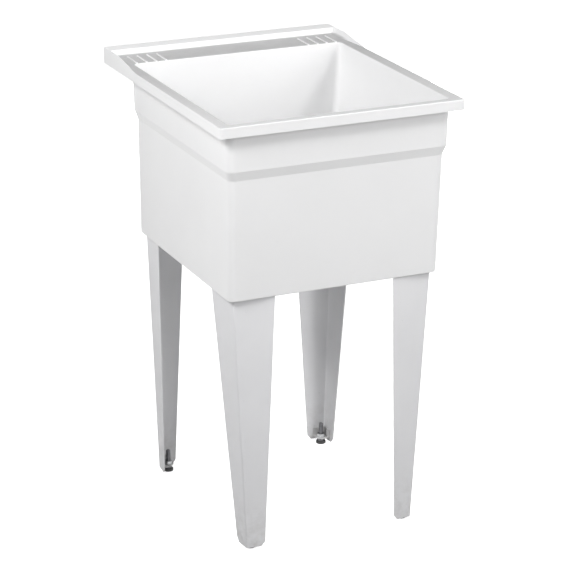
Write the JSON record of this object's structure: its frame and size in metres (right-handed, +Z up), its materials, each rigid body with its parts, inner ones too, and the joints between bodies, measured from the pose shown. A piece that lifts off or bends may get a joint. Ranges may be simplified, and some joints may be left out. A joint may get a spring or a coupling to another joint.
{
  "type": "utility laundry sink",
  "caption": "Free-standing utility laundry sink: deep white one-piece tub with a raised back lip and soap ribs, on tapered angle legs with levelling feet and a basket drain.",
  "frame": {"origin": "on the floor, under the middle of the rim", "axes": "+Z up, +X to the right seen from the front, +Y towards the wall"},
  "size_m": [0.508, 0.606, 0.8961],
  "materials": {
    "tub_plastic": "moulded white plastic, semi-gloss",
    "leg_paint": "powder coat, satin, off-white",
    "bracket_paint": "powder coat, satin, off-white",
    "zinc": "zinc plated",
    "dark_steel": "black oxide",
    "pad_plastic": "black, fine texture",
    "drain_metal": "polished",
    "seal_rubber": "black rubber, matt",
    "fibre": "pressed fibre, dry",
    "nut_plastic": "moulded white plastic, matt",
    "stopper_rubber": "black rubber, matt",
    "ring_wire": "polished wire"
  },
  "bodies": {
    "sink": {"tub": "tub_plastic", "leg_front_left": "leg_paint", "leg_front_right": "leg_paint", "leg_back_left": "leg_paint", "leg_back_right": "leg_paint", "leg_screws": "zinc", "leg_washers": "zinc", "foot_bracket_front_left": "bracket_paint", "foot_bracket_front_right": "bracket_paint", "foot_bracket_back_left": "bracket_paint", "foot_bracket_back_right": "bracket_paint", "weld_nuts": "zinc", "drain_body": "drain_metal", "drain_gasket": "seal_rubber", "drain_washer": "seal_rubber", "friction_ring": "fibre", "drain_lock_nut": "nut_plastic"},
    "pad_front_left": {"foot_pad_front_left": "pad_plastic"},
    "stud_front_left": {"leveller_stud_front_left": "dark_steel"},
    "pad_front_right": {"foot_pad_front_right": "pad_plastic"},
    "stud_front_right": {"leveller_stud_front_right": "dark_steel"},
    "pad_back_left": {"foot_pad_back_left": "pad_plastic"},
    "stud_back_left": {"leveller_stud_back_left": "dark_steel"},
    "pad_back_right": {"foot_pad_back_right": "pad_plastic"},
    "stud_back_right": {"leveller_stud_back_right": "dark_steel"},
    "stopper": {"stopper": "stopper_rubber"},
    "stopper_ring": {"stopper_ring": "ring_wire"}
  },
  "joints": [
    {"name": "leveller_front_left_travel", "type": "slide", "parent": "sink", "child": "pad_front_left", "axis": [0, 0, -1], "range_m": [0, 0.02]},
    {"name": "leveller_front_left_turn", "type": "hinge", "parent": "pad_front_left", "child": "stud_front_left", "pos_m": [-0.16664, -0.24354, 0.03], "axis": [0, 0, -1], "range_deg": [0, 4810]},
    {"name": "leveller_front_right_travel", "type": "slide", "parent": "sink", "child": "pad_front_right", "axis": [0, 0, -1], "range_m": [0, 0.02]},
    {"name": "leveller_front_right_turn", "type": "hinge", "parent": "pad_front_right", "child": "stud_front_right", "pos_m": [0.16664, -0.24354, 0.03], "axis": [0, 0, -1], "range_deg": [0, 4810]},
    {"name": "leveller_back_left_travel", "type": "slide", "parent": "sink", "child": "pad_back_left", "axis": [0, 0, -1], "range_m": [0, 0.02]},
    {"name": "leveller_back_left_turn", "type": "hinge", "parent": "pad_back_left", "child": "stud_back_left", "pos_m": [-0.17897, 0.1601, 0.03], "axis": [0, 0, -1], "range_deg": [0, 4810]},
    {"name": "leveller_back_right_travel", "type": "slide", "parent": "sink", "child": "pad_back_right", "axis": [0, 0, -1], "range_m": [0, 0.02]},
    {"name": "leveller_back_right_turn", "type": "hinge", "parent": "pad_back_right", "child": "stud_back_right", "pos_m": [0.17897, 0.1601, 0.03], "axis": [0, 0, -1], "range_deg": [0, 4810]},
    {"name": "stopper_lift", "type": "slide", "parent": "sink", "child": "stopper", "axis": [0, 0, 1], "range_m": [0, 0.4]},
    {"name": "stopper_ring_swing", "type": "hinge", "parent": "stopper", "child": "stopper_ring", "pos_m": [0, -0.03605, 0.5578], "axis": [-1, 0, 0], "range_deg": [0, 160]}
  ],
  "couplings": [
    {"joint": "leveller_front_left_turn", "follows": "leveller_front_left_travel", "rad_per_m": 4188.8},
    {"joint": "leveller_front_right_turn", "follows": "leveller_front_right_travel", "rad_per_m": 4188.8},
    {"joint": "leveller_back_left_turn", "follows": "leveller_back_left_travel", "rad_per_m": 4188.8},
    {"joint": "leveller_back_right_turn", "follows": "leveller_back_right_travel", "rad_per_m": 4188.8}
  ]
}
